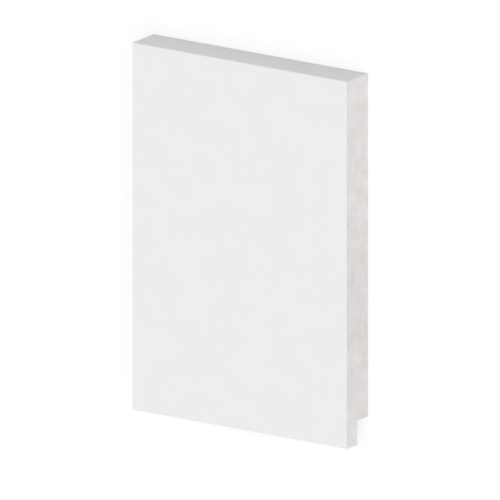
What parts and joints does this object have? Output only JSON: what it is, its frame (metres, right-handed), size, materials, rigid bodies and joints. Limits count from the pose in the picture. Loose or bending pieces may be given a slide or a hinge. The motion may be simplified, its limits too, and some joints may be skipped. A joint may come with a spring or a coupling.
{
  "type": "skirting board",
  "caption": "Short cut piece of plain square-edged skirting board, with a rebate along the back of its bottom edge.",
  "frame": {"origin": "On the floor, under the middle of the piece: the centre of the bounding box's underside, on the plane of the back face", "axes": "+X runs along the wall, +Y is up the wall, towards the board's top edge, and +Z is the outward normal of the front face. The piece lies on its back, front face up."},
  "size_m": [0.102, 0.15, 0.015],
  "materials": {
    "foamed_polymer": "primed satin white on the front and the long edges, bare sawn foam on the ends, bare skin on the back"
  },
  "bodies": {
    "root": {"skirting_board": "foamed_polymer"}
  },
  "joints": []
}
